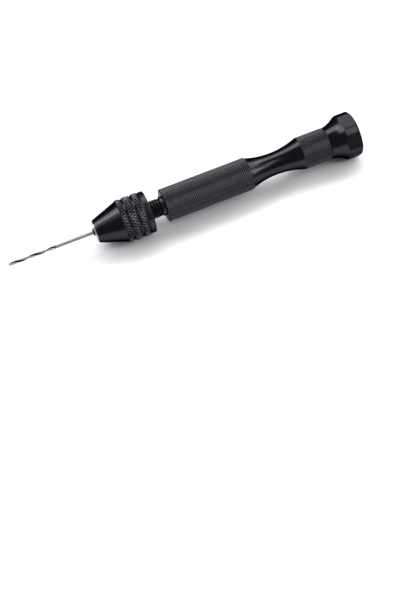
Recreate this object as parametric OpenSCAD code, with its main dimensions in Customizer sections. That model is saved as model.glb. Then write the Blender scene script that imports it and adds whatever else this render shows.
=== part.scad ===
// Pin vise drill: a knurled hand drill with a keyless three-jaw chuck and a swivelling palm cap.
// Every part is drawn along its own axis, which runs from the chuck nose towards the cap,
// and laid down along +X by on_axis(). One flat of the cap faces the table.

/* [Chuck] */
// length of the chuck from the nose of the sleeve to the back of its rear ring
chuck_len = 23.4; // [22.4:0.1:25.4]
// diameter over the knurled bands of the sleeve
chuck_d = 18.3; // [17.6:0.1:18.3]
// diameter of the sleeve at its nose
nose_d = 9.6; // [9.4:0.1:10]
// length of the smooth cone behind the nose
cone_len = 11.2; // [10.8:0.1:11.8]

/* [Handle] */
// length of threaded stem and collar showing between the chuck and the grip
stem_gap = 6.3; // [5:0.1:10]
// outside diameter of the stem thread
thread_d = 8.0; // [7.6:0.1:8]
// pitch of the stem thread
thread_pitch = 1.0; // [0.75:0.25:1.25]
// diameter of the knurled grip
grip_d = 13.8; // [13:0.1:16]
// length of the knurled grip
grip_len = 37.8; // [25:0.1:50]
// length of the smooth waist behind the grip
waist_len = 23.0; // [18:0.1:30]
// smallest diameter of the waist
waist_d = 9.5; // [8.4:0.1:11]
// length of the short knurled part in front of the cap
tail_len = 11.8; // [9:0.1:16]

/* [Cap] */
// length of the swivelling cap
cap_len = 12.5; // [12.4:0.1:16]
// distance across the flats of the cap
cap_flats = 18.4; // [17.8:0.1:19.2]
// diameter of the round bar the cap is milled from
cap_round = 19.6; // [19.4:0.1:20.4]

/* [Drill bit] */
// diameter of the drill bit
bit_d = 1.5; // [1:0.1:1.8]
// length of drill bit in front of the chuck
bit_out = 37.5; // [30:0.5:60]
// length of the two flutes
flute_len = 21.2; // [12:0.1:28]
// length of drill bit held inside the chuck
bit_in = 8.5; // [6:0.5:12]

/* [Hidden] */
$fn = 96;
eps = 0.01;
running = 0.05;

// stations along the axis, measured from the nose of the sleeve
grip_start = chuck_len + stem_gap;
grip_end = grip_start + grip_len;
tail_start = grip_end + waist_len;
tail_end = tail_start + tail_len;
washer_t = 0.45;
cap_start = tail_end + washer_t + running;
cap_end = cap_start + cap_len;
mid_x = (cap_end - bit_out) / 2;
axis_z = cap_flats / 2;

// chuck inside
face_out = 0.5;
nose_r = 4.1;
nose_recess = 1.0;
nose_edge = 0.15;
body_edge = 0.2;
body_end_gap = 0.1;
guide_r = 4.6;
guide_start = 1.5;
nut_start = 5.5;
nut_end = 9.4;
nut_r = 6.0;
groove_r = 3.6;
groove_front = nut_start - running;
groove_back = nut_end + running;
core_r = 6.9;
ring_seat_r = 6.6;
ring_len = 2.3;
ring_d_step = 0.6;
sleeve_end = chuck_len - ring_len - running;
through_r = 1.75;
through_end = 14.0;
stem_bore_start = 16.0;
jaw_slope = 20;
jaw_r = 1.3;
jaw_len = 10.0;
jaw_offset = 0.43;
jaw_front = -1.1;
jaw_bore_r = jaw_r + running;
jaw_bore_from = -2;
jaw_bore_len = 15.1;
jaw_root = 1.5;
jaw_gap = 0.06;
tooth_pitch = 0.75;
tooth_depth = 0.22;
teeth_from = 4.2;
tooth_count = 7;
tooth_width = 0.45 * tooth_pitch;
tooth_face = 0.4;
root_flat = 0.08;
nut_turn = 30;
nut_split = 1;
band_groove_w = 0.7;
band_groove_h = 0.5;
band_grooves = [0.26, 0.66];
sleeve_edge = 0.3;
ring_chamfer = 0.3;

// stem and handle
collar_len = 1.2;
collar_d = 8.2;
collar_edge = 0.15;
stem_edge = 0.3;
thread_fit = 0.02;
thread_runout = 1;
thread_depth = 0.55 * thread_pitch;
thread_width = 0.42 * thread_pitch;
thread_count = floor((grip_start - collar_len - stem_bore_start - thread_runout) / thread_pitch);
edge_chamfer = 0.25;
waist_step = 0.4;
waist_step_len = 0.6;
waist_shift = 0.5;
pilot_gap = 0.2;
spigot_r = 3.3;

// swivel bearing, 5 mm bore, 11 mm outside, 4 mm wide
bearing_start = tail_end + 2.8;
bearing_w = 4.0;
bearing_mid = bearing_start + bearing_w / 2;
bearing_end = bearing_start + bearing_w;
bearing_bore_r = 2.5;
bearing_outer_r = 5.5;
inner_shoulder_r = 3.35;
outer_shoulder_r = 4.65;
pitch_r = 4.0;
ball_r = 1.0;
race_r = 1.03;
ball_count = 7;
pocket_r = 1.06;
cage_r = 3.7;
cage_t = 0.6;
cage_w = 2.7;
shield_t = 0.2;
shield_inset = 0.15;
shield_in_r = 3.45;
shield_out_r = 4.9;

// cap and its screw
cap_mouth_r = 5.55;
cap_cavity_r = 4.95;
plug_r = 5.6;
plug_t = 2.0;
screw_r = 1.5;
screw_len = 10.0;
screw_head_r = 2.75;
screw_head_h = 1.9;
screw_socket_flats = 2.0;
screw_socket_h = 1.1;
screw_tip_gap = 1;
screw_edge = 0.3;
head_edge = 0.2;
screw_washer_r = 3.1;
screw_washer_t = 0.5;
screw_washer_fit = 0.1;
flare_r = 12.4;
flare_back = 1.7;
flare_start_d = grip_d - 0.26;
washer_step = 0.55;
cap_chamfer_len = 0.9;
cap_chamfer_r = 0.9;
cap_face_chamfer = 0.15;

// drill bit
point_angle = 118;
bit_r = bit_d / 2;
point_h = bit_r / tan(point_angle / 2);
bit_lead = 15.8;
flute_r = 0.42 * bit_d;
flute_offset = 0.5 * bit_d;
web_clear = 0.12 * bit_d;
bit_core_r = 0.16 * bit_d;
bit_tip_r = 0.02;
point_spare = 0.2;
bit_facets = 18;
flute_facets = 10;
bit_slices = 24;

black = [0.07, 0.07, 0.08];
steel = [0.72, 0.72, 0.74];
bronze = [0.75, 0.6, 0.35];

module on_axis() {
  translate([-mid_x, 0, axis_z]) rotate([0, 90, 0]) children();
}

// a tube or disc of revolution between two stations
module disc(from, to, r) {
  translate([0, 0, from]) cylinder(h = to - from, r = r);
}

module tube(from, to, r_out, r_in) {
  difference() {
    disc(from, to, r_out);
    disc(from - 1, to + 1, r_in);
  }
}

// a round bar with both ends chamfered
module bar(from, to, r, c) {
  rotate_extrude()
    polygon([[0, from], [r - c, from], [r, from + c], [r, to - c], [r - c, to], [0, to]]);
}

// a V-shaped ring cut from the outside of a bar of radius r
module vee_ring(at, r, depth, w) {
  flat = w * root_flat;
  rotate_extrude() polygon([
    [r + depth, at - w], [r + depth, at + w], [r - depth, at + flat], [r - depth, at - flat]
  ]);
}

// the line a jaw slides along, seen from its outer end
module along_jaw(turn) {
  rotate([0, 0, turn]) translate([jaw_offset, 0, 0]) rotate([0, jaw_slope, 0]) children();
}

module chuck_body() {
  color(steel) on_axis() difference() {
    union() {
      bar(-face_out, guide_start, nose_r, body_edge);
      disc(guide_start - eps, groove_front, guide_r);
      disc(groove_front - eps, groove_back + eps, groove_r);
      disc(groove_back, sleeve_end, core_r);
      disc(sleeve_end - eps, chuck_len - body_end_gap, ring_seat_r);
    }
    disc(-face_out - 1, through_end, through_r);
    disc(stem_bore_start, chuck_len + 1, thread_d / 2 + thread_fit);
    for (turn = [0, 120, 240])
      along_jaw(turn) translate([0, 0, jaw_bore_from]) cylinder(h = jaw_bore_len, r = jaw_bore_r);
  }
}

module chuck_sleeve() {
  r = chuck_d / 2;
  color(black) on_axis() difference() {
    rotate_extrude() polygon([
      [0, 0], [nose_d / 2 - nose_edge, 0], [nose_d / 2, nose_edge], [r - sleeve_edge, cone_len],
      [r, cone_len + sleeve_edge], [r, sleeve_end - sleeve_edge], [r - sleeve_edge, sleeve_end],
      [0, sleeve_end]
    ]);
    disc(-1, guide_start + nose_recess, nose_r + running);
    disc(guide_start - running, nut_start, guide_r + running);
    disc(nut_start - eps, nut_end, nut_r);
    disc(nut_end - eps, sleeve_end + 1, core_r + running);
    for (share = band_grooves) {
      from = cone_len + (sleeve_end - cone_len) * share - band_groove_w / 2;
      tube(from, from + band_groove_w, r + 1, r - band_groove_h);
    }
  }
}

// half of the split ring that drives the jaws, pressed into the sleeve
module nut_half(turn) {
  front_r = jaw_offset + nut_start * tan(jaw_slope) + jaw_r / cos(jaw_slope) + running;
  back_r = front_r + (nut_end - nut_start) * tan(jaw_slope);
  color(steel) on_axis() rotate([0, 0, turn + nut_split / 2]) rotate_extrude(angle = 180 - nut_split)
    polygon([[front_r, nut_start], [nut_r, nut_start], [nut_r, nut_end], [back_r, nut_end]]);
}

module jaw_nut_half_1() {
  nut_half(nut_turn);
}

module jaw_nut_half_2() {
  nut_half(nut_turn + 180);
}

module jaw(turn) {
  start = jaw_front / cos(jaw_slope);
  reach = 12;
  color(steel) on_axis() difference() {
    intersection() {
      along_jaw(turn) translate([0, 0, start - jaw_root]) difference() {
        cylinder(h = jaw_len + jaw_root, r = jaw_r);
        intersection() {
          for (i = [0:tooth_count - 1])
            vee_ring(teeth_from + jaw_root + i * tooth_pitch, jaw_r, tooth_depth, tooth_width);
          translate([tooth_face, -2 * jaw_r, 0]) cube([2 * jaw_r, 4 * jaw_r, jaw_len + jaw_root]);
        }
      }
      rotate([0, 0, turn]) translate([2 * jaw_gap, 0, jaw_front]) linear_extrude(reach)
        polygon([[0, 0], [reach / 2, reach * sin(60)], [reach, 0], [reach / 2, -reach * sin(60)]]);
    }
    disc(jaw_front - 1, reach, bit_r + eps);
  }
}

module jaw_1() {
  jaw(0);
}

module jaw_2() {
  jaw(120);
}

module jaw_3() {
  jaw(240);
}

module chuck_rear_ring() {
  color(black) on_axis() difference() {
    bar(sleeve_end + running, chuck_len, chuck_d / 2 - ring_d_step / 2, ring_chamfer);
    disc(sleeve_end - 1, chuck_len + 1, ring_seat_r);
  }
}

module flute_section() {
  difference() {
    circle(r = bit_r - eps, $fn = bit_facets);
    for (side = [-1, 1])
      translate([side * (flute_offset + web_clear), 0]) circle(r = flute_r, $fn = flute_facets);
  }
}

module drill_bit() {
  tip = -bit_out;
  flute_end = tip + flute_len;
  // the fluted bar starts a little in front of the tip, and the point is cut from it
  bar_from = tip - point_h / 2;
  bar_len = flute_end + eps - bar_from;
  wide = bit_r + point_spare;
  color(steel) on_axis() {
    disc(flute_end, bit_in, bit_r);
    disc(tip + point_h, flute_end + 1, bit_core_r);
    intersection() {
      translate([0, 0, bar_from])
        linear_extrude(bar_len, twist = -360 * bar_len / bit_lead, slices = bit_slices, $fn = bit_facets)
          flute_section();
      rotate_extrude() polygon([[0, tip], [bit_tip_r, tip],
        [wide, tip + (wide - bit_tip_r) / tan(point_angle / 2)], [wide, flute_end + 1], [0, flute_end + 1]]);
    }
  }
}

module handle() {
  thread_from = stem_bore_start + thread_runout;
  waist_mid = (grip_end + tail_start) / 2 - waist_shift;
  half_chord = tail_start - waist_mid;
  rise = (grip_d - waist_d) / 2;
  waist_arc = (half_chord * half_chord + rise * rise) / (2 * rise);
  color(black) on_axis() difference() {
    union() {
      bar(stem_bore_start, grip_start - collar_len, thread_d / 2, stem_edge);
      bar(grip_start - collar_len - eps, grip_start + 1, collar_d / 2, collar_edge);
      bar(grip_start, grip_end, grip_d / 2, edge_chamfer);
      difference() {
        disc(grip_end - 1, tail_start, grip_d / 2 - eps);
        rotate_extrude() intersection() {
          translate([waist_d / 2 + waist_arc, waist_mid]) circle(r = waist_arc, $fn = 240);
          translate([0, grip_end]) square([grip_d, waist_len]);
        }
        tube(grip_end, grip_end + waist_step_len, grip_d, grip_d / 2 - waist_step);
      }
      bar(tail_start, tail_end, grip_d / 2, edge_chamfer);
      disc(tail_end - 1, bearing_start, spigot_r);
      disc(bearing_start - 1, bearing_end - pilot_gap, bearing_bore_r);
    }
    for (i = [0:thread_count - 1])
      vee_ring(thread_from + i * thread_pitch, thread_d / 2, thread_depth, thread_width);
    disc(bearing_end - screw_len, bearing_end + 1, screw_r + eps);
  }
}

module swivel_washer() {
  color(black) on_axis() tube(tail_end, tail_end + washer_t, grip_d / 2 - washer_step, spigot_r + running);
}

module swivel_cap() {
  arc_station = cap_start - flare_back;
  arc_low = sqrt(flare_r * flare_r - flare_back * flare_back);
  arc_centre_r = flare_start_d / 2 + arc_low;
  far_r = cap_round / 2;
  color(black) on_axis() difference() {
    intersection() {
      rotate_extrude() polygon([
        [0, cap_start], [far_r, cap_start], [far_r, cap_end - cap_chamfer_len],
        [far_r - cap_chamfer_r, cap_end], [0, cap_end]
      ]);
      rotate([0, 0, 30]) translate([0, 0, cap_start - 1]) linear_extrude(cap_len + 2)
        circle(r = cap_flats / 2 / cos(30), $fn = 6);
    }
    rotate_extrude() intersection() {
      translate([arc_centre_r, arc_station]) circle(r = flare_r, $fn = 240);
      translate([0, cap_start - 1]) square([cap_round, cap_len]);
    }
    disc(cap_start - 1, bearing_start, cap_mouth_r);
    disc(bearing_start - eps, bearing_end, bearing_outer_r);
    disc(bearing_end - eps, cap_end - plug_t, cap_cavity_r);
    disc(cap_end - plug_t, cap_end + 1, plug_r);
  }
}

module cap_end_plug() {
  color(black) on_axis() rotate_extrude() polygon([
    [0, cap_end - plug_t], [plug_r, cap_end - plug_t], [plug_r, cap_end - cap_face_chamfer],
    [plug_r - cap_face_chamfer, cap_end], [0, cap_end]
  ]);
}

module cap_screw() {
  head_at = bearing_end + screw_washer_t;
  color(steel) on_axis() difference() {
    union() {
      bar(bearing_end - screw_len + screw_tip_gap, head_at + eps, screw_r, screw_edge);
      bar(head_at, head_at + screw_head_h, screw_head_r, head_edge);
    }
    translate([0, 0, head_at + screw_head_h - screw_socket_h]) linear_extrude(screw_socket_h + 1)
      circle(r = screw_socket_flats / 2 / cos(30), $fn = 6);
  }
}

module screw_washer() {
  color(steel) on_axis()
    tube(bearing_end, bearing_end + screw_washer_t, screw_washer_r, screw_r + screw_washer_fit);
}

module bearing_inner_ring() {
  color(steel) on_axis() difference() {
    tube(bearing_start, bearing_end, inner_shoulder_r, bearing_bore_r);
    rotate_extrude() translate([pitch_r, bearing_mid]) circle(r = race_r);
  }
}

module bearing_outer_ring() {
  recess = shield_inset + shield_t;
  color(steel) on_axis() difference() {
    tube(bearing_start, bearing_end, bearing_outer_r, outer_shoulder_r);
    rotate_extrude() translate([pitch_r, bearing_mid]) circle(r = race_r);
    disc(bearing_start - 1, bearing_start + recess, shield_out_r);
    disc(bearing_end - recess, bearing_end + 1, shield_out_r);
  }
}

module bearing_balls() {
  color(steel) on_axis() for (i = [0:ball_count - 1])
    rotate([0, 0, i * 360 / ball_count]) translate([pitch_r, 0, bearing_mid]) sphere(r = ball_r);
}

module bearing_cage() {
  color(bronze) on_axis() difference() {
    tube(bearing_mid - cage_w / 2, bearing_mid + cage_w / 2, cage_r + cage_t, cage_r);
    for (i = [0:ball_count - 1])
      rotate([0, 0, i * 360 / ball_count]) translate([cage_r - 1, 0, bearing_mid]) rotate([0, 90, 0])
        cylinder(h = cage_t + 2, r = pocket_r);
  }
}

module bearing_shield_front() {
  from = bearing_start + shield_inset;
  color(steel) on_axis() tube(from, from + shield_t, shield_out_r, shield_in_r);
}

module bearing_shield_rear() {
  to = bearing_end - shield_inset;
  color(steel) on_axis() tube(to - shield_t, to, shield_out_r, shield_in_r);
}

chuck_body();
chuck_sleeve();
jaw_nut_half_1();
jaw_nut_half_2();
jaw_1();
jaw_2();
jaw_3();
chuck_rear_ring();
drill_bit();
handle();
swivel_washer();
swivel_cap();
cap_end_plug();
cap_screw();
screw_washer();
bearing_inner_ring();
bearing_outer_ring();
bearing_balls();
bearing_cage();
bearing_shield_front();
bearing_shield_rear();
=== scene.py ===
"""Looks for the pin vise drill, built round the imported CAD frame.

Stations run along the tool's axis, from the nose of the sleeve towards the cap. Stations and
radii are in millimetres, and place() turns them into points in metres.
"""

import math
import random

import bmesh
import bpy
from mathutils import Euler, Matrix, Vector


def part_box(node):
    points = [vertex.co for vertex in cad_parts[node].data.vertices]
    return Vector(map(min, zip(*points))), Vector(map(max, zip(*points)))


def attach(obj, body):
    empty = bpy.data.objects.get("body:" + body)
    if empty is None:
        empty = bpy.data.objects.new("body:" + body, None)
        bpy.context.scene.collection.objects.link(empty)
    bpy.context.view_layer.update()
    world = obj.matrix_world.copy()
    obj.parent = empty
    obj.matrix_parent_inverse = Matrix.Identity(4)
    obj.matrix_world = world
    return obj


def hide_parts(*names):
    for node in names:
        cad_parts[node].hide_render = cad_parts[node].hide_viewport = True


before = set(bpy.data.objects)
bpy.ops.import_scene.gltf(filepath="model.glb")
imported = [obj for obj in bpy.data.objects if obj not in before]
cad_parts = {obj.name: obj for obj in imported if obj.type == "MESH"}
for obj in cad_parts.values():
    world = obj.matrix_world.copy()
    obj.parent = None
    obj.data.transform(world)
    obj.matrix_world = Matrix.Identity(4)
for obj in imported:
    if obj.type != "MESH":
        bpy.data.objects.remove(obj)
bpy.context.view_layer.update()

MM = 0.001
TAU = 2 * math.pi

# ---------------------------------------------------------------- sizes read from the frame
NOSE_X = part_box("chuck_sleeve")[0].x
AXIS_Z = sum(corner.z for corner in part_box("bearing_outer_ring")) / 2


def station(node, end):
    return (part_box(node)[end].x - NOSE_X) / MM


def half_width(node):
    low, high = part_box(node)
    return (high.y - low.y) / 2 / MM


SLEEVE_END = station("chuck_sleeve", 1)
SLEEVE_R = half_width("chuck_sleeve")
RING_FROM, RING_TO = station("chuck_rear_ring", 0), station("chuck_rear_ring", 1)
RING_R = half_width("chuck_rear_ring")
STEM_FROM = station("handle", 0)
PILOT_END = station("handle", 1)
GRIP_R = half_width("handle")
TAIL_END, WASHER_END = station("swivel_washer", 0), station("swivel_washer", 1)
WASHER_R = half_width("swivel_washer")
CAP_FROM, CAP_TO = station("swivel_cap", 0), station("swivel_cap", 1)
CAP_ROUND = half_width("swivel_cap")
CAP_APOTHEM = (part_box("swivel_cap")[1].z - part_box("swivel_cap")[0].z) / 2 / MM
BEARING_FROM, BEARING_TO = station("bearing_outer_ring", 0), station("bearing_outer_ring", 1)
BIT_TIP, BIT_END = station("drill_bit", 0), station("drill_bit", 1)
BIT_R = half_width("drill_bit")
PLUG_FROM = station("cap_end_plug", 0)
PLUG_R = half_width("cap_end_plug")

# ---------------------------------------------------------------- sizes of the handle
GRIP_FROM, GRIP_TO = 29.7, 67.5
TAIL_FROM = 90.5
COLLAR_FROM = 28.5
COLLAR_R = 4.1
STEM_R = 4.0
# the stem's blunt point: its length, and how far it starts below the thread's root
STEM_POINT = 0.35
STEM_POINT_STEP = 0.4
PITCH = 1.0
THREAD_DEPTH = 0.55
THREAD_ROOT = STEM_R - THREAD_DEPTH
# the length over which the thread dies out at each end, and the plain groove behind it
THREAD_FADE = 0.9
THREAD_RELIEF = 0.25
# the thread's section: (share of the pitch, share of the depth)
THREAD_SHAPE = [(0.00, 0.0), (0.14, 0.0), (0.46, 1.0), (0.64, 1.0)]
# the fillets at the foot and at the rim of the grip's front face
FACE_FILLET = 0.12
WAIST_R = 4.75
# the narrowest place lies this far in front of the waist's middle
WAIST_SHIFT = 0.5
# the step behind the grip: its height, and how many of the waist's rings it covers
WAIST_STEP = 0.4
WAIST_STEP_RINGS = 2
WAIST_STEPS = 44
SPIGOT_R = 3.3
PILOT_R = 2.5
PILOT_CHAMFER = 0.2
SCREW_HOLE_R = 1.51
SCREW_HOLE_LEN = 10

# knurl of the grip and the tail
GRIP_AROUND = 39
GRIP_HALF_ROWS = 68
TAIL_HALF_ROWS = 21
GRIP_SEED, TAIL_SEED = 3, 4
KNURL_DEPTH = 0.24
GRIP_CREST = 0.26
# the knurl stops this far from the ends of the grip and from the back of the tail
CHAMFER = 0.25
# the plain lip in front of the tail's knurl, its edge, and the step at the tail's end
TAIL_LIP = 0.12
TAIL_EDGE_LEN = 0.05
TAIL_EDGE_STEP = 0.08
TAIL_END_STEP = 0.05

# ---------------------------------------------------------------- sizes of the chuck
CONE_LEN = 11.2
CONE_STEPS = 10
# the cone's last two rings: how far in front of the first band, how far below its floor
CONE_EDGE = ((0.35, 0.12), (0.1, 0.03))
NOSE_R = 4.8
NOSE_EDGE = 0.15
# the sleeve's bore: mouth, lip, the length on the chuck body, the nut's seat, the rear
MOUTH_R = 4.15
MOUTH_EDGE = 0.1
MOUTH_FROM = 0.35
LIP_END = 1.45
BODY_BORE_R = 4.65
NUT_FROM, NUT_TO = 5.5, 9.4
NUT_R = 6.0
REAR_BORE_R = 6.95
# the grooves between the bands, as shares of the length behind the cone
GROOVES_AT = (0.26, 0.66)
GROOVE_W = 0.7
GROOVE_H = 0.5
GROOVE_SLOPE = 0.08

# knurl of the sleeve, with the half rows and the random seed of each band
SLEEVE_AROUND = 43
SLEEVE_DEPTH = 0.42
SLEEVE_CREST = 0.24
SLEEVE_EDGE = 0.3
SLEEVE_END_STEP = 0.1
BAND_ROWS = (2, 3, 3)
BAND_SEEDS = (11, 12, 13)
# the height of the crests at the edge of a band, as a share of their height in its middle
BAND_EDGE = 0.45

RING_BORE_R = 6.6
RING_EDGE_FRONT = 0.25
RING_EDGE_BACK = 0.35

# ---------------------------------------------------------------- sizes of the cap
# the flare's arc: its radius, and how far its narrowest place lies in front of the cap
FLARE_R = 12.4
FLARE_BACK = 1.7
# the flare starts this much smaller than the tail
FLARE_STEP = 0.13
FLARE_START_R = GRIP_R - FLARE_STEP
FLARE_STEPS = 16
# the head: its sides, the steps across a flat and round a corner, and its rings as shares
SIDES = 6
FLAT_STEPS = 8
ROUND_STEPS = 4
HEAD_RINGS = (0.34, 0.67, 1.0)
CAP_CHAMFER = 0.9
# the bevel on edges sharper than an angle
CAP_EDGE = 0.09
CAP_EDGE_DEG = 14
CAP_MOUTH_R = 5.55
BEARING_R = 5.5
CAVITY_R = 4.95
PLUG_GAP = 0.02
PLUG_EDGE = 0.15
DISH_R = 2.2
DISH_DEPTH = 0.05
WASHER_BORE_R = 3.35

# ---------------------------------------------------------------- sizes of the drill bit
# the flutes go once round in this length, and start turned by this angle at the tip
BIT_LEAD = 15.8
BIT_TURN = math.radians(80)
BIT_SEGMENTS = 48
BIT_END_EDGE = 0.15
SHANK_GAP = 0.1
POINT_DEG = 118
POINT_STEPS = (0.04, 0.25, 0.5, 0.75, 1.0)
FLUTE_LEN = 21.2
FLUTE_RINGS = 130
# the length over which the flutes run out, and their depth as a share of the bit's radius
FLUTE_FADE = 2.2
FLUTE_DEPTH = 0.68
# shares of half a turn where the margin and the land behind it end, and the land's own depth
MARGIN_TO = 0.16
LAND_TO = 0.50
LAND_DEPTH = 0.06
# powers that lean the flute to one side and widen its bottom
FLUTE_LEAN = 0.85
FLUTE_WIDTH = 0.8
# the cut from which the flute gets painted shade, as a share of its depth
GULLET_SHADE_FROM = 0.35

# ---------------------------------------------------------------- sizes of the mesh
# a gap too small to see, in mm, and the distance at which two vertices become one, in metres
HAIR = 0.02
WELD = 1e-7
LATHE_SEGMENTS = 144
# places of the materials in a piece's list
PLAIN = 0
KNURLED, THREADED = 1, 2
FLAT = 1
FLUTE, GULLET_SHADE = 1, 2


def place(n, r, angle):
    """The point at a station, a radius and an angle round the axis (0 is +Y, 90 degrees is up)."""
    return Vector((NOSE_X + n * MM, r * MM * math.cos(angle), AXIS_Z + r * MM * math.sin(angle)))


# ---------------------------------------------------------------- mesh building
class Turned:
    """Collects rings and patches of a turned piece, then makes one closed mesh of them."""

    def __init__(self):
        self.verts = []
        self.faces = []
        self.slots = []

    def vert(self, n, r, angle):
        self.verts.append(place(n, r, angle))
        return len(self.verts) - 1

    def ring(self, n, r, angles):
        """n and r are numbers, or functions of the angle."""
        at = n if callable(n) else (lambda a: n)
        rad = r if callable(r) else (lambda a: r)
        return [self.vert(at(a), rad(a), a) for a in angles]

    def face(self, ids, slot=PLAIN):
        self.faces.append(ids)
        self.slots.append(slot)

    def join(self, a, b, slot=PLAIN):
        """Joins two rings with one face for each pair of neighbours. slot may be a list, with
        one entry for each face."""
        count = len(a)
        for i in range(count):
            k = (i + 1) % count
            self.face((a[i], a[k], b[k], b[i]), slot[i] if isinstance(slot, list) else slot)

    def rings(self, profile, angles, slot=PLAIN, first=None):
        """Joins one ring for each (n, r) of the profile, going on from the ring first."""
        last = first
        for n, r in profile:
            now = self.ring(n, r, angles)
            if last is not None:
                self.join(last, now, slot)
            last = now
        return last

    def cap(self, ring, flip=False):
        self.face(tuple(reversed(ring)) if flip else tuple(ring))

    def build(self, name, materials, sharp_deg=28):
        mesh = bpy.data.meshes.new(name)
        mesh.from_pydata(self.verts, [], self.faces)
        for m in materials:
            mesh.materials.append(m)
        for poly, slot in zip(mesh.polygons, self.slots):
            poly.material_index = slot
        bm = bmesh.new()
        bm.from_mesh(mesh)
        bmesh.ops.remove_doubles(bm, verts=bm.verts, dist=WELD)
        bmesh.ops.dissolve_degenerate(bm, edges=bm.edges, dist=WELD)
        bmesh.ops.recalc_face_normals(bm, faces=bm.faces)
        bm.to_mesh(mesh)
        bm.free()
        mesh.shade_smooth()
        mesh.set_sharp_from_angle(angle=math.radians(sharp_deg))
        obj = bpy.data.objects.new(name, mesh)
        bpy.context.scene.collection.objects.link(obj)
        return obj


def rounded(points, radius, steps=3):
    """A polyline of (n, r) with each inner corner rounded off, over less than half of its sides."""
    longest = 0.45
    out = [points[0]]
    for before, here, after in zip(points, points[1:], points[2:]):
        a, p, b = Vector(before), Vector(here), Vector(after)
        la, lb = (a - p).length, (b - p).length
        cut = min(radius, la * longest, lb * longest)
        start, stop = p + (a - p) / la * cut, p + (b - p) / lb * cut
        for k in range(steps + 1):
            t = k / steps
            q = start.lerp(p, t).lerp(p.lerp(stop, t), t)
            out.append((q.x, q.y))
    out.append(points[-1])
    return out


def even(count):
    return [TAU * i / count for i in range(count)]


def lathe(name, points, material, radius=0.08, closed=True):
    """A body of revolution from a profile of (n, r). A closed profile makes a ring."""
    part = Turned()
    angles = even(LATHE_SEGMENTS)
    if closed:
        half = tuple((p + q) / 2 for p, q in zip(points[0], points[1]))
        loop = rounded([half] + points[1:] + [points[0], half], radius)
        first = part.ring(*loop[0], angles)
        last = part.rings(loop[1:-1], angles, PLAIN, first)
        part.join(last, first)
    else:
        line = rounded(points, radius)
        first = part.ring(*line[0], angles)
        last = part.rings(line[1:], angles, PLAIN, first)
        part.cap(first)
        part.cap(last, flip=True)
    return part.build(name, [material])


# ---------------------------------------------------------------- knurling
class Knurl:
    """Diamonds between the stations n0 and n1, cut into a round bar of radius r: truncated
    pyramids, or with hollow set, pits with flat bottoms in a raised net.

    around is the number of diamonds round the bar and rows the number of half diamonds along it.
    crest is how far a top reaches from its diamond's middle, as a share of half a diamond, and
    lift(n) is the share of the depth that a crest reaches at a station."""

    # how much the heights of the tops and of the pits' bottoms vary, as a share of the depth
    top_spread = 0.06
    pit_spread = 0.08

    def __init__(self, part, around, r, depth, n0, n1, rows, seed, crest, phase=0, lift=None, hollow=False):
        self.part, self.around = part, around
        self.r, self.depth = r, depth
        self.n0, self.n1, self.rows = n0, n1, rows
        self.phase = phase
        self.rand = random.Random(seed)
        self.crest, self.hollow = crest, hollow
        self.lift = lift or (lambda n: 1.0)
        self.corner, self.top = {}, {}

    def at(self, i, j):
        n = self.n0 + (self.n1 - self.n0) * j / self.rows
        return n, TAU * (i + self.phase) / (2 * self.around)

    def corner_id(self, i, j):
        key = (i % (2 * self.around), j)
        if key not in self.corner:
            n, a = self.at(i, j)
            net = self.depth * self.lift(n) if self.hollow else 0.0
            self.corner[key] = self.part.vert(n, self.r - self.depth + net, a)
        return self.corner[key]

    def top_id(self, i, j, di, dj, height):
        key = (i % (2 * self.around), j, di, dj)
        if key not in self.top:
            n, a = self.at(i + di * self.crest, j + dj * self.crest)
            self.top[key] = self.part.vert(n, self.r - self.depth + height, a)
        return self.top[key]

    def build(self):
        """Makes the diamonds and returns the rings of vertices at both ends."""
        for j in range(self.rows + 1):
            spokes = [(1, 0), (0, 1), (-1, 0), (0, -1)]
            if j == 0:
                spokes = [(1, 0), (0, 1), (-1, 0)]
            if j == self.rows:
                spokes = [(-1, 0), (0, -1), (1, 0)]
            sides = 4 if len(spokes) == 4 else 2
            for i in range(j % 2, 2 * self.around, 2):
                n, _ = self.at(i, j)
                height = self.depth * self.lift(n) * (1 - self.top_spread * self.rand.random())
                if self.hollow:
                    height = self.pit_spread * self.depth * self.rand.random()
                tops = [self.top_id(i, j, di, dj, height) for di, dj in spokes]
                feet = [self.corner_id(i + di, j + dj) for di, dj in spokes]
                for k in range(sides):
                    m = (k + 1) % len(spokes)
                    self.part.face((feet[k], feet[m], tops[m], tops[k]), KNURLED)
                self.part.face(tuple(tops), KNURLED)
        return self.end_ring(0), self.end_ring(self.rows)

    def end_ring(self, j):
        ring = []
        for i in range(2 * self.around):
            if (i + j) % 2:
                ring.append(self.corner_id(i, j))
            else:
                ring.append(self.top_id(i, j, -1, 0, 0))
                ring.append(self.top_id(i, j, 1, 0, 0))
        return ring

    def angles(self, j):
        """The angles of the vertices in the end ring of row j, in the same order."""
        out = []
        for i in range(2 * self.around):
            if (i + j) % 2:
                out.append(self.at(i, j)[1])
            else:
                out.append(self.at(i - self.crest, j)[1])
                out.append(self.at(i + self.crest, j)[1])
        return out


# ---------------------------------------------------------------- shader nodes
# sockets of the colour mix node
MIX_FACTOR, MIX_A, MIX_B, MIX_RESULT = 0, 6, 7, 2
BUMP_DEPTH = 0.00002


def material(name, colour, metallic, roughness, specular=0.5):
    mat = bpy.data.materials.new(name)
    mat.use_nodes = True
    shader = mat.node_tree.nodes["Principled BSDF"]
    shader.inputs["Base Color"].default_value = (*colour, 1)
    shader.inputs["Metallic"].default_value = metallic
    shader.inputs["Roughness"].default_value = roughness
    shader.inputs["Specular IOR Level"].default_value = specular
    return mat, mat.node_tree, shader


def math_node(tree, op, a, b=None, clamp=False):
    n = tree.nodes.new("ShaderNodeMath")
    n.operation = op
    n.use_clamp = clamp
    for socket, value in ((0, a), (1, b)):
        if value is None:
            continue
        if isinstance(value, (int, float)):
            n.inputs[socket].default_value = value
        else:
            tree.links.new(value, n.inputs[socket])
    return n.outputs[0]


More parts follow.
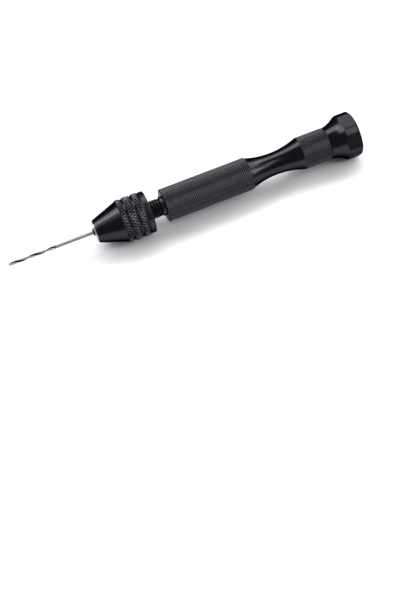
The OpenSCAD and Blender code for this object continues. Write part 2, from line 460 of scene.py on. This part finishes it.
def between(tree, factor, low, high):
    """low where the factor is 0, high where it is 1."""
    return math_node(tree, "ADD", math_node(tree, "MULTIPLY", factor, high - low), low)


def mask(tree, source, low, high):
    """Black up to low, white from high on."""
    n = tree.nodes.new("ShaderNodeValToRGB")
    tree.links.new(source, n.inputs["Fac"])
    for element, position, grey in zip(n.color_ramp.elements, (low, high), (0, 1)):
        element.position = position
        element.color = (grey, grey, grey, 1)
    return n.outputs["Color"]


def noise(tree, vector, scale, detail, rough=0.6):
    n = tree.nodes.new("ShaderNodeTexNoise")
    n.inputs["Scale"].default_value = scale
    n.inputs["Detail"].default_value = detail
    n.inputs["Roughness"].default_value = rough
    tree.links.new(vector, n.inputs["Vector"])
    return n.outputs["Fac"]


def axis_coordinates(tree):
    """Object coordinates, the place along the axis and the distance from it, all in metres."""
    coord = tree.nodes.new("ShaderNodeTexCoord").outputs["Object"]
    split = tree.nodes.new("ShaderNodeSeparateXYZ")
    tree.links.new(coord, split.inputs[0])
    side = split.outputs["Y"]
    up = math_node(tree, "SUBTRACT", split.outputs["Z"], AXIS_Z)
    side_square = math_node(tree, "MULTIPLY", side, side)
    up_square = math_node(tree, "MULTIPLY", up, up)
    radius = math_node(tree, "SQRT", math_node(tree, "ADD", side_square, up_square))
    return coord, split.outputs["X"], radius


def turning_marks(tree, x, radius, scale):
    """Fine rings left by the lathe: noise that only changes along the axis and the radius."""
    join = tree.nodes.new("ShaderNodeCombineXYZ")
    tree.links.new(x, join.inputs[0])
    tree.links.new(radius, join.inputs[1])
    return noise(tree, join.outputs[0], scale, detail=2.0)


def add_bump(tree, shader, height, strength):
    bump = tree.nodes.new("ShaderNodeBump")
    bump.inputs["Strength"].default_value = strength
    bump.inputs["Distance"].default_value = BUMP_DEPTH
    tree.links.new(height, bump.inputs["Height"])
    tree.links.new(bump.outputs[0], shader.inputs["Normal"])


def mix_colour(tree, factor, a, b):
    n = tree.nodes.new("ShaderNodeMix")
    n.data_type = "RGBA"
    for socket, value in ((MIX_A, a), (MIX_B, b)):
        if isinstance(value, tuple):
            n.inputs[socket].default_value = (*value, 1)
        else:
            tree.links.new(value, n.inputs[socket])
    tree.links.new(factor, n.inputs[MIX_FACTOR])
    return n.outputs[MIX_RESULT]


# ---------------------------------------------------------------- black anodised aluminium
DYED = (0.0258, 0.0251, 0.0305)
DYED_PALE = (0.0332, 0.0324, 0.038)
# the knurl's tones, lighter than the smooth dye: painted light that stands in for light on the knurl's
# facets
KNURL_DYED_PAINTED_LIGHT = (0.037, 0.0362, 0.0415)
KNURL_DYED_PALE_PAINTED_LIGHT = (0.048, 0.047, 0.054)
MILL_DYED = (0.020, 0.0198, 0.0225)
MILL_DYED_PALE = (0.026, 0.0256, 0.029)
# the painted shade in the valleys of a knurl, and the share of its depth up to which this painted shade
# reaches
PAINTED_VALLEY_SHADE = (0.010, 0.0098, 0.0105)
PAINTED_VALLEY_SHADE_TO = 0.55
# the colours of the crests: partly real wear, partly a painted highlight
WORN_AND_HIGHLIGHT = (0.20, 0.20, 0.21)
THREAD_WORN_AND_HIGHLIGHT = (0.07, 0.07, 0.075)
# how quickly the wear and its painted highlight fade below the crests
WEAR_AND_HIGHLIGHT_POWER = 3.0
# small scuffs: their colour, how much of it shows, and the noise levels where they start and are full
SCUFF = (0.2, 0.2, 0.21)
SCUFF_SHARE = 0.12
SCUFF_RANGE = (0.70, 0.80)
# the share of lathe marks in the fine relief; the rest is grain
LATHE_SHARE = 0.7
# the tint at a glancing angle is dark too, which keeps the edges of a dyed piece dark
EDGE_TINT = (0.30, 0.30, 0.34)


def anodised(name, dark, light, rough, crests=None, rubbed_and_highlight=WORN_AND_HIGHLIGHT):
    """Black anodised aluminium. rough is (smoothest, roughest). crests is (radius, depth) in mm
    of a knurl or thread, whose crests are rubbed bare, partly real wear and partly a painted highlight, and
    whose valleys get painted shade."""
    mat, tree, shader = material(name, dark, metallic=1.0, roughness=0.3)
    shader.inputs["Specular Tint"].default_value = (*EDGE_TINT, 1)
    coord, x, radius = axis_coordinates(tree)
    cloud = noise(tree, coord, scale=260, detail=4.0)
    grain = noise(tree, coord, scale=16000, detail=2.0, rough=0.7)
    tone = mix_colour(tree, cloud, dark, light)
    if crests:
        crest_r, depth = crests
        lift = math_node(tree, "SUBTRACT", radius, (crest_r - depth) * MM)
        lift = math_node(tree, "DIVIDE", lift, depth * MM, clamp=True)
        speck = noise(tree, coord, scale=900, detail=2.0, rough=0.7)
        # the crests get the rubbed colour: partly real wear, partly a painted highlight
        worn_and_highlight = math_node(tree, "MULTIPLY", math_node(tree, "POWER", lift, WEAR_AND_HIGHLIGHT_POWER), speck)
        # painted shade: the valleys of a knurl or thread are coloured darker by their depth
        tone = mix_colour(tree, mask(tree, lift, 0.0, PAINTED_VALLEY_SHADE_TO), PAINTED_VALLEY_SHADE, tone)
        tone = mix_colour(tree, worn_and_highlight, tone, rubbed_and_highlight)
        height = grain
    else:
        speck = noise(tree, coord, scale=2600, detail=3.0, rough=0.75)
        scuff = math_node(tree, "MULTIPLY", mask(tree, speck, *SCUFF_RANGE), SCUFF_SHARE)
        tone = mix_colour(tree, scuff, tone, SCUFF)
        marks = turning_marks(tree, x, radius, scale=9000)
        lathe_part = math_node(tree, "MULTIPLY", marks, LATHE_SHARE)
        grain_part = math_node(tree, "MULTIPLY", grain, 1 - LATHE_SHARE)
        height = math_node(tree, "ADD", lathe_part, grain_part)
    tree.links.new(tone, shader.inputs["Base Color"])
    tree.links.new(between(tree, cloud, *rough), shader.inputs["Roughness"])
    add_bump(tree, shader, height, strength=0.12)
    return mat


ANODISED = anodised("anodised_smooth", DYED, DYED_PALE, (0.16, 0.24))
ANODISED_CAP = anodised("anodised_cap", DYED, DYED_PALE, (0.16, 0.24))
GRIP_KNURL = anodised(
    "anodised_grip_knurl", KNURL_DYED_PAINTED_LIGHT, KNURL_DYED_PALE_PAINTED_LIGHT, (0.30, 0.42), crests=(GRIP_R, KNURL_DEPTH)
)
SLEEVE_KNURL = anodised(
    "anodised_sleeve_knurl", DYED, DYED_PALE, (0.28, 0.40), crests=(SLEEVE_R, SLEEVE_DEPTH)
)
THREAD = anodised(
    "anodised_thread", DYED, DYED_PALE, (0.28, 0.40), crests=(STEM_R, THREAD_DEPTH), rubbed_and_highlight=THREAD_WORN_AND_HIGHLIGHT
)
# the ring's lighter tone is the knurl's painted-light tone
SATIN = anodised("anodised_satin", DYED_PALE, KNURL_DYED_PAINTED_LIGHT, (0.28, 0.38))
MILLED = anodised("anodised_milled", MILL_DYED, MILL_DYED_PALE, (0.34, 0.44))

# ---------------------------------------------------------------- steel and brass
BIT_EDGE_TINT = (0.40, 0.40, 0.40)
JAW_EDGE_TINT = (0.30, 0.30, 0.30)
# how much of the shade the lathe rings show, and of their colour the stains
MARK_SHARE = 0.35
SPOT_SHARE = 0.5
SPOT_RANGE = (0.62, 0.74)


def turned_metal(name, colour, shade, rough, bump=0.2, spots=None, edge=None):
    """Turned or ground metal with lathe rings and uneven tone. rough is (smoothest, roughest).
    spots is the colour of small stains, and edge the tint at a glancing angle."""
    mat, tree, shader = material(name, colour, metallic=1.0, roughness=0.3)
    if edge:
        shader.inputs["Specular Tint"].default_value = (*edge, 1)
    coord, x, radius = axis_coordinates(tree)
    cloud = noise(tree, coord, scale=700, detail=4.0)
    marks = turning_marks(tree, x, radius, scale=7000)
    tone = mix_colour(tree, cloud, colour, shade)
    tone = mix_colour(tree, math_node(tree, "MULTIPLY", marks, MARK_SHARE), tone, shade)
    if spots:
        speck = noise(tree, coord, scale=3500, detail=3.0, rough=0.7)
        stain = math_node(tree, "MULTIPLY", mask(tree, speck, *SPOT_RANGE), SPOT_SHARE)
        tone = mix_colour(tree, stain, tone, spots)
    tree.links.new(tone, shader.inputs["Base Color"])
    tree.links.new(between(tree, marks, *rough), shader.inputs["Roughness"])
    add_bump(tree, shader, marks, bump)
    return mat


BODY_STEEL = turned_metal(
    "turned_steel", (0.62, 0.62, 0.63), (0.42, 0.42, 0.44), (0.22, 0.36), spots=(0.25, 0.23, 0.21)
)
JAW_STEEL = turned_metal(
    "jaw_steel", (0.040, 0.040, 0.043), (0.022, 0.022, 0.024), (0.34, 0.50),
    spots=(0.1, 0.1, 0.1), edge=JAW_EDGE_TINT,
)
BIT_STEEL = turned_metal(
    "bit_steel", (0.38, 0.38, 0.385), (0.29, 0.29, 0.295), (0.34, 0.44), bump=0.12, edge=BIT_EDGE_TINT
)
BIT_FLUTE = turned_metal(
    "bit_flute", (0.44, 0.435, 0.43), (0.35, 0.345, 0.34), (0.46, 0.56), bump=0.12, edge=BIT_EDGE_TINT
)
# painted shade: the deep part of each flute is coloured near black
BIT_GULLET_SHADE = turned_metal(
    "bit_gullet_painted_shade", (0.034, 0.030, 0.028), (0.018, 0.016, 0.015), (0.30, 0.45), bump=0.15, edge=BIT_EDGE_TINT
)
BEARING_STEEL = turned_metal(
    "bearing_steel", (0.78, 0.78, 0.80), (0.66, 0.66, 0.70), (0.08, 0.16), bump=0.08
)
BALL_STEEL = turned_metal("ball_steel", (0.84, 0.84, 0.86), (0.76, 0.76, 0.79), (0.05, 0.10), bump=0.03)
CAGE_BRASS = turned_metal("cage_brass", (0.66, 0.47, 0.22), (0.48, 0.33, 0.15), (0.25, 0.42))
SCREW_STEEL = turned_metal("screw_steel", (0.50, 0.50, 0.52), (0.36, 0.36, 0.38), (0.25, 0.40))
NUT_STEEL = turned_metal(
    "nut_steel", (0.40, 0.40, 0.42), (0.26, 0.26, 0.28), (0.28, 0.42), bump=0.25, spots=(0.2, 0.17, 0.14)
)


# ---------------------------------------------------------------- plastic
ROUGH_SPREAD = 0.12


def plastic(name, colour, shade, rough):
    mat, tree, shader = material(name, colour, metallic=0.0, roughness=rough)
    coord, _, _ = axis_coordinates(tree)
    cloud = noise(tree, coord, scale=900, detail=3.0)
    tree.links.new(mix_colour(tree, cloud, colour, shade), shader.inputs["Base Color"])
    fine = noise(tree, coord, scale=9000, detail=2.0)
    tree.links.new(between(tree, fine, rough, rough + ROUGH_SPREAD), shader.inputs["Roughness"])
    add_bump(tree, shader, fine, strength=0.2)
    return mat


WASHER = plastic("black_washer", (0.008, 0.008, 0.009), (0.014, 0.014, 0.015), rough=0.5)


# ---------------------------------------------------------------- handle
def add_thread(part, angles, n0, n1):
    """A helical thread between two stations. Its rows run along the helix and are squeezed
    together at both ends, where the crest dies into the root."""

    def radius(h, n):
        inside = min(1.0, max(0.0, (n - n0) / THREAD_FADE), max(0.0, (n1 - n) / THREAD_FADE))
        return THREAD_ROOT + (STEM_R - THREAD_ROOT) * h * inside

    rows = []
    for k in range(-1, math.ceil((n1 - n0) / PITCH) + 1):
        for offset, h in THREAD_SHAPE:
            row = []
            for i in range(len(angles) + 1):
                n = n0 + (k + offset + i / len(angles)) * PITCH
                n = min(max(n, n0), n1)
                row.append(part.vert(n, radius(h, n), angles[i % len(angles)]))
            rows.append(row)
    for a, b in zip(rows, rows[1:]):
        for i in range(len(angles)):
            part.face((a[i], a[i + 1], b[i + 1], b[i]), THREADED)


def waist_profile():
    """The concave arc between grip and tail, from the step at the front to full radius."""
    mid = (GRIP_TO + TAIL_FROM) / 2 - WAIST_SHIFT
    chord = TAIL_FROM - mid
    rise = GRIP_R - WAIST_R
    arc = (chord * chord + rise * rise) / (2 * rise)

    def arc_r(n):
        return WAIST_R + arc - math.sqrt(max(0.0, arc * arc - (n - mid) ** 2))

    step_r = min(GRIP_R - WAIST_STEP, arc_r(GRIP_TO))
    out = []
    for k in range(WAIST_STEPS + 1):
        n = GRIP_TO + (TAIL_FROM - GRIP_TO) * k / WAIST_STEPS
        out.append((n, min(arc_r(n), step_r) if k < WAIST_STEP_RINGS else arc_r(n)))
    return out


def build_handle():
    part = Turned()
    knurl_floor = GRIP_R - KNURL_DEPTH
    grip = Knurl(
        part, GRIP_AROUND, GRIP_R, KNURL_DEPTH, GRIP_FROM + CHAMFER, GRIP_TO - CHAMFER,
        GRIP_HALF_ROWS, GRIP_SEED, GRIP_CREST,
    )
    tail = Knurl(
        part, GRIP_AROUND, GRIP_R, KNURL_DEPTH, TAIL_FROM + TAIL_LIP, TAIL_END - CHAMFER,
        TAIL_HALF_ROWS, TAIL_SEED, GRIP_CREST,
    )
    angles = grip.angles(0)
    # stem, collar and the front face of the grip
    thread_from, thread_to = STEM_FROM + STEM_POINT, COLLAR_FROM - THREAD_RELIEF
    start = part.ring(STEM_FROM, THREAD_ROOT - STEM_POINT_STEP, angles)
    part.cap(start)
    part.rings([(thread_from, THREAD_ROOT)], angles, THREADED, start)
    add_thread(part, angles, thread_from, thread_to)
    front = rounded(
        [
            (thread_to, THREAD_ROOT), (COLLAR_FROM, THREAD_ROOT), (COLLAR_FROM, COLLAR_R),
            (GRIP_FROM - FACE_FILLET, COLLAR_R), (GRIP_FROM, COLLAR_R + FACE_FILLET),
            (GRIP_FROM, knurl_floor - FACE_FILLET),
        ],
        radius=0.1,
    )
    collar = [point for point in front if point[0] < GRIP_FROM - HAIR / 2]
    last = part.rings(collar, angles, THREADED)
    last = part.rings(front[len(collar):], angles, PLAIN, last)
    low, high = grip.build()
    part.join(last, low)
    # rear edge of the grip, the waist and the edge of the tail
    tail_edge = (TAIL_FROM - TAIL_EDGE_LEN, GRIP_R - TAIL_EDGE_STEP)
    behind = [(GRIP_TO, knurl_floor - HAIR)] + waist_profile()[:-1] + [tail_edge]
    last = part.rings(behind, angles, PLAIN, high)
    low, high = tail.build()
    part.join(last, low)
    # rear face, spigot, the bearing's pilot and the screw's hole
    back = rounded(
        [
            (TAIL_END, knurl_floor - TAIL_END_STEP), (TAIL_END, SPIGOT_R), (BEARING_FROM, SPIGOT_R),
            (BEARING_FROM, PILOT_R), (PILOT_END - PILOT_CHAMFER, PILOT_R),
            (PILOT_END, PILOT_R - PILOT_CHAMFER), (PILOT_END, SCREW_HOLE_R),
            (BEARING_TO - SCREW_HOLE_LEN, SCREW_HOLE_R),
        ],
        radius=0.04,
        steps=2,
    )
    last = part.rings(back, angles, PLAIN, high)
    part.cap(last, flip=True)
    return part.build("handle_turned", [ANODISED, GRIP_KNURL, THREAD], sharp_deg=22)


# ---------------------------------------------------------------- chuck sleeve
def sleeve_bands():
    """The first and last station of each knurled band."""
    span = SLEEVE_END - CONE_LEN
    grooves = [CONE_LEN + span * share for share in GROOVES_AT]
    starts = [CONE_LEN + HAIR] + [n + GROOVE_W / 2 for n in grooves]
    ends = [n - GROOVE_W / 2 for n in grooves] + [SLEEVE_END - SLEEVE_EDGE]
    return list(zip(starts, ends))


def band_lift(n0, n1):
    """Crests are highest in the middle of a band, which gives it a round section."""
    return lambda n: BAND_EDGE + (1 - BAND_EDGE) * math.sin(math.pi * (n - n0) / (n1 - n0))


def build_sleeve():
    part = Turned()
    floor = SLEEVE_R - SLEEVE_DEPTH
    bands = sleeve_bands()
    phase = 0
    knurls = []
    for (n0, n1), rows, seed in zip(bands, BAND_ROWS, BAND_SEEDS):
        knurls.append(
            Knurl(
                part, SLEEVE_AROUND, SLEEVE_R, SLEEVE_DEPTH, n0, n1, rows, seed, SLEEVE_CREST,
                phase, band_lift(n0, n1), hollow=True,
            )
        )
        phase += rows % 2
    angles = knurls[0].angles(0)
    cone_edge = [(CONE_LEN - before, floor - below) for before, below in CONE_EDGE]
    nose = rounded(
        [
            (MOUTH_FROM, MOUTH_R), (0.0, MOUTH_R + MOUTH_EDGE), (0.0, NOSE_R - NOSE_EDGE),
            (NOSE_EDGE, NOSE_R + HAIR), cone_edge[0],
        ],
        radius=0.12,
    )
    (n_a, r_a), (n_b, r_b) = nose[-2:]
    shares = [k / CONE_STEPS for k in range(1, CONE_STEPS)]
    cone = [(n_a + (n_b - n_a) * t, r_a + (r_b - r_a) * t) for t in shares]
    first = part.ring(*nose[0], angles)
    last = part.rings(nose[1:-1] + cone + cone_edge, angles, PLAIN, first)
    groove_r = SLEEVE_R - GROOVE_H - HAIR
    for index, knurl in enumerate(knurls):
        low, high = knurl.build()
        part.join(last, low)
        angles = knurl.angles(knurl.rows)
        last = high
        if index + 1 < len(bands):
            n0, n1 = bands[index][1] + GROOVE_SLOPE, bands[index + 1][0] - GROOVE_SLOPE
            last = part.rings([(n0, groove_r), (n1, groove_r)], angles, PLAIN, high)
    back = rounded(
        [
            (SLEEVE_END, floor - SLEEVE_END_STEP), (SLEEVE_END, REAR_BORE_R), (NUT_TO, REAR_BORE_R),
            (NUT_TO, NUT_R), (NUT_FROM, NUT_R), (NUT_FROM, BODY_BORE_R), (LIP_END, BODY_BORE_R),
            (LIP_END, MOUTH_R), (MOUTH_FROM, MOUTH_R),
        ],
        radius=0.03,
        steps=2,
    )
    last = part.rings(back[:-1], angles, PLAIN, last)
    # the bore meets the nose ring again; both have the same number of vertices
    shift = len(first) // (2 * SLEEVE_AROUND) if phase % 2 else 0
    part.join(last, first[shift:] + first[:shift])
    return part.build("chuck_sleeve_turned", [ANODISED, SLEEVE_KNURL], sharp_deg=22)


# ---------------------------------------------------------------- cap
def cap_angles():
    """FLAT_STEPS steps across each flat, then ROUND_STEPS steps round to the next one."""
    side = 360 / SIDES
    half = math.degrees(math.acos(CAP_APOTHEM / CAP_ROUND))
    flat = [half * k / (FLAT_STEPS / 2) for k in range(-FLAT_STEPS // 2, FLAT_STEPS // 2 + 1)]
    strip = [half + (side - 2 * half) * k / ROUND_STEPS for k in range(1, ROUND_STEPS)]
    return [math.radians(side / 2 + side * k + mark) for k in range(SIDES) for mark in flat + strip]


def cap_limit(angle):
    """How far the milled bar reaches at this angle: a flat, or the round between two flats."""
    side = 360 / SIDES
    off = math.radians(math.degrees(angle) % side - side / 2)
    return min(CAP_APOTHEM / math.cos(off), CAP_ROUND)


def build_cap():
    part = Turned()
    angles = cap_angles()
    arc_n = CAP_FROM - FLARE_BACK
    centre_r = FLARE_START_R + math.sqrt(FLARE_R**2 - FLARE_BACK**2)

    def flare_end(angle):
        reach = centre_r - cap_limit(angle)
        return arc_n + math.sqrt(FLARE_R**2 - reach**2)

    def chamfer_from(angle):
        return CAP_TO - CAP_CHAMFER + (CAP_ROUND - cap_limit(angle))

    first = part.ring(CAP_FROM, CAP_MOUTH_R, angles)
    last = part.rings([(CAP_FROM, FLARE_START_R)], angles, PLAIN, first)
    for k in range(1, FLARE_STEPS + 1):

        def n_at(angle, t=k / FLARE_STEPS):
            return CAP_FROM + (flare_end(angle) - CAP_FROM) * t

        def r_at(angle, n_at=n_at):
            return centre_r - math.sqrt(FLARE_R**2 - (n_at(angle) - arc_n) ** 2)

        last = part.rings([(n_at, r_at)], angles, PLAIN, last)
    per_side = FLAT_STEPS + ROUND_STEPS
    head_slots = [FLAT if i % per_side < FLAT_STEPS else PLAIN for i in range(len(angles))]
    for share in HEAD_RINGS:

        def n_at(angle, t=share):
            return flare_end(angle) + (chamfer_from(angle) - flare_end(angle)) * t

        last = part.rings([(n_at, cap_limit)], angles, head_slots, last)
    back = [
        (CAP_TO, CAP_ROUND - CAP_CHAMFER), (CAP_TO, PLUG_R + PLUG_GAP), (PLUG_FROM, PLUG_R + PLUG_GAP),
        (PLUG_FROM, CAVITY_R), (BEARING_TO, CAVITY_R), (BEARING_TO, BEARING_R),
        (BEARING_FROM, BEARING_R), (BEARING_FROM, CAP_MOUTH_R),
    ]
    last = part.rings(back, angles, PLAIN, last)
    part.join(last, first)
    obj = part.build("cap_milled", [ANODISED_CAP, MILLED], sharp_deg=12)
    bevel = obj.modifiers.new("edges", "BEVEL")
    bevel.width = CAP_EDGE * MM
    bevel.segments = 3
    bevel.limit_method = "ANGLE"
    bevel.angle_limit = math.radians(CAP_EDGE_DEG)
    return obj


# ---------------------------------------------------------------- drill bit
def flute_depth(angle):
    """How deep the section is cut at an angle from the margin: 0 there, up to 1 in the flute."""
    share = (angle % math.pi) / math.pi
    if share < MARGIN_TO:
        return 0.0
    if share < LAND_TO:
        return LAND_DEPTH
    across = (share - LAND_TO) / (1 - LAND_TO)
    return LAND_DEPTH + (1 - LAND_DEPTH) * math.sin(math.pi * across**FLUTE_LEAN) ** FLUTE_WIDTH


def build_bit():
    part = Turned()
    angles = even(BIT_SEGMENTS)
    slope = math.tan(math.radians(POINT_DEG / 2))
    point_end = BIT_TIP + BIT_R / slope
    flute_end = BIT_TIP + FLUTE_LEN
    shank_from = flute_end + SHANK_GAP
    stations = [BIT_TIP + BIT_R / slope * t for t in POINT_STEPS]
    stations += [point_end + (shank_from - point_end) * k / FLUTE_RINGS for k in range(1, FLUTE_RINGS + 1)]
    last = None
    for n in stations:
        fade = min(1.0, max(0.0, (flute_end - n) / FLUTE_FADE))
        turn = TAU * (n - BIT_TIP) / BIT_LEAD + BIT_TURN
        cone = (n - BIT_TIP) * slope

        def cut(angle, fade=fade, turn=turn):
            return fade * flute_depth(angle - turn)

        def r_at(angle, cut=cut, cone=cone):
            return min(BIT_R * (1 - FLUTE_DEPTH * cut(angle)), cone)

        now = part.ring(n, r_at, angles)
        if last is None:
            part.cap(now)
        else:
            middles = [angle + math.pi / BIT_SEGMENTS for angle in angles]
            # faces deep in a flute get the painted-shade material
            part.join(last, now, [GULLET_SHADE if cut(angle) > GULLET_SHADE_FROM else FLUTE for angle in middles])
        last = now
    shank = rounded(
        [(shank_from, BIT_R), (BIT_END - BIT_END_EDGE, BIT_R), (BIT_END, BIT_R - BIT_END_EDGE)],
        radius=0.05,
    )
    last = part.rings(shank[1:], angles, PLAIN, last)
    part.cap(last, flip=True)
    return part.build("twist_bit", [BIT_STEEL, BIT_FLUTE, BIT_GULLET_SHADE], sharp_deg=35)


# ---------------------------------------------------------------- rings and plug
def build_rear_ring():
    return lathe(
        "chuck_rear_ring_turned",
        [
            (RING_FROM, RING_BORE_R), (RING_FROM, RING_R - RING_EDGE_FRONT),
            (RING_FROM + RING_EDGE_FRONT, RING_R), (RING_TO - RING_EDGE_BACK, RING_R),
            (RING_TO, RING_R - RING_EDGE_BACK), (RING_TO, RING_BORE_R),
        ],
        SATIN,
        radius=0.1,
    )


def build_washer():
    return lathe(
        "swivel_washer_ring",
        [
            (TAIL_END, WASHER_BORE_R), (TAIL_END, WASHER_R),
            (WASHER_END, WASHER_R), (WASHER_END, WASHER_BORE_R),
        ],
        WASHER,
    )


def build_plug():
    return lathe(
        "cap_end_plug_turned",
        [
            (PLUG_FROM, HAIR), (PLUG_FROM, PLUG_R), (CAP_TO - PLUG_EDGE, PLUG_R),
            (CAP_TO, PLUG_R - PLUG_EDGE), (CAP_TO, DISH_R), (CAP_TO - DISH_DEPTH, HAIR),
        ],
        ANODISED_CAP,
        radius=0.06,
        closed=False,
    )


# ---------------------------------------------------------------- all pieces
def add(obj, body, slot_name, *replaced):
    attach(obj, body)
    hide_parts(*replaced)


add(build_handle(), "handle_and_chuck_body", "knurled_anodised", "handle")
add(build_sleeve(), "sleeve", "knurled_anodised", "chuck_sleeve")
add(build_cap(), "cap", "black_anodised", "swivel_cap")
add(build_bit(), "bit", "bit_steel", "drill_bit")
add(build_rear_ring(), "handle_and_chuck_body", "black_anodised", "chuck_rear_ring")
add(build_washer(), "handle_and_chuck_body", "washer_plastic", "swivel_washer")
add(build_plug(), "cap", "black_anodised", "cap_end_plug")

# CAD nodes that stay as they are, with their materials
KEPT = {
    "chuck_body": BODY_STEEL, "jaw_nut_half_1": NUT_STEEL, "jaw_nut_half_2": NUT_STEEL,
    "jaw_1": JAW_STEEL, "jaw_2": JAW_STEEL, "jaw_3": JAW_STEEL,
    "cap_screw": SCREW_STEEL, "screw_washer": SCREW_STEEL,
    "bearing_inner_ring": BEARING_STEEL, "bearing_outer_ring": BEARING_STEEL,
    "bearing_balls": BALL_STEEL, "bearing_cage": CAGE_BRASS,
    "bearing_shield_front": BEARING_STEEL, "bearing_shield_rear": BEARING_STEEL,
}
for name, mat in KEPT.items():
    for material_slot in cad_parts[name].material_slots:
        material_slot.material = mat

# ---------------------------------------------------------------- floor, light, camera
FLOOR_HALF = 1.5
FLOOR_Z = -0.00002
CENTRE = Vector((0.0, 0.0, AXIS_Z))
WORLD_COLOUR = (0.98, 0.96, 1.08)
WORLD_STRENGTH = 0.22
CAMERA_PLACE = (-0.07840, -0.33012, 0.41687)
CAMERA_TURN = (34.705, 6.135, -21.908)
CAMERA_LENS = 77.5
CAMERA_SENSOR = 36
CAMERA_CLIP = 0.01
# place, width and height in metres, power in watts
SOFTBOXES = {
    "softbox_top": ((0.0, 0.55, 0.75), (1.3, 0.5), 9),
    "softbox_left": ((-0.9, 0.35, 0.75), (0.8, 0.8), 8),
    "softbox_right": ((0.9, 0.35, 0.75), (0.8, 0.8), 7),
    "softbox_front": ((0.95, -0.5, 0.6), (0.6, 0.6), 5),
    "softbox_cap": ((0.49, -0.47, 0.9), (0.36, 0.75), 2.2),
}


def add_floor():
    mesh = bpy.data.meshes.new("floor")
    signs = ((-1, -1), (1, -1), (1, 1), (-1, 1))
    mesh.from_pydata([(x * FLOOR_HALF, y * FLOOR_HALF, FLOOR_Z) for x, y in signs], [], [(0, 1, 2, 3)])
    mat, _, _ = material("pale_floor", (0.90, 0.90, 0.90), metallic=0.0, roughness=0.7, specular=0.2)
    mesh.materials.append(mat)
    floor = bpy.data.objects.new("floor", mesh)
    bpy.context.scene.collection.objects.link(floor)


def add_softbox(name, position, size, power):
    """A rectangular light that faces the middle of the tool."""
    data = bpy.data.lights.new(name, "AREA")
    data.shape = "RECTANGLE"
    data.size, data.size_y = size
    data.energy = power
    obj = bpy.data.objects.new(name, data)
    obj.location = position
    obj.rotation_euler = (CENTRE - Vector(position)).to_track_quat("-Z", "Y").to_euler()
    bpy.context.scene.collection.objects.link(obj)


def add_world():
    world = bpy.data.worlds.new("studio")
    world.use_nodes = True
    background = world.node_tree.nodes["Background"]
    background.inputs["Color"].default_value = (*WORLD_COLOUR, 1)
    background.inputs["Strength"].default_value = WORLD_STRENGTH
    bpy.context.scene.world = world
    bpy.context.scene.view_settings.view_transform = "Standard"


def add_camera():
    data = bpy.data.cameras.new("camera")
    data.lens = CAMERA_LENS
    data.sensor_width = CAMERA_SENSOR
    data.clip_start = CAMERA_CLIP
    camera = bpy.data.objects.new("camera", data)
    camera.location = CAMERA_PLACE
    camera.rotation_euler = Euler([math.radians(a) for a in CAMERA_TURN], "XYZ")
    bpy.context.scene.collection.objects.link(camera)
    bpy.context.scene.camera = camera


add_floor()
for name, (position, size, power) in SOFTBOXES.items():
    add_softbox(name, position, size, power)
add_world()
add_camera()
